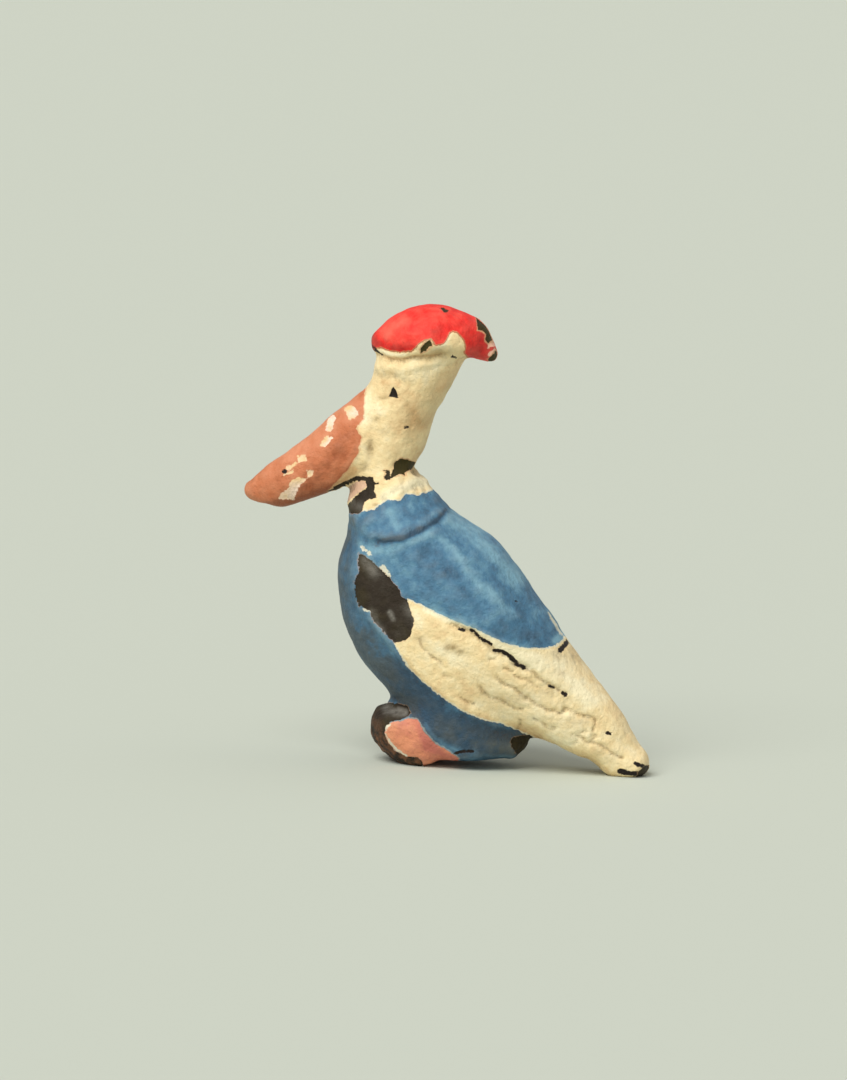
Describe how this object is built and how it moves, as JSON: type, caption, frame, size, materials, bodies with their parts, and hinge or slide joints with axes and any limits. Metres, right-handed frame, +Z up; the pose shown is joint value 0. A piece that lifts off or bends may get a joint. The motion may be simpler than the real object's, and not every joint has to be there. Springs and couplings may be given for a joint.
{
  "type": "cast lead pelican figurine",
  "caption": "Small painted lead pelican standing on webbed feet and tail tip, long beak drooping forward, round red cap, folded wings.",
  "frame": {"origin": "under the middle of the casting, on the surface that it stands on", "axes": "+Z up, -X the way the bird faces, -Y its left side"},
  "size_m": [0.0408, 0.0146, 0.0447],
  "materials": {
    "painted_lead": "hand-painted enamel in blue, cream, red and orange-brown over cast lead, chipped and soiled"
  },
  "bodies": {
    "root": {"pelican_casting": "painted_lead"}
  },
  "joints": []
}
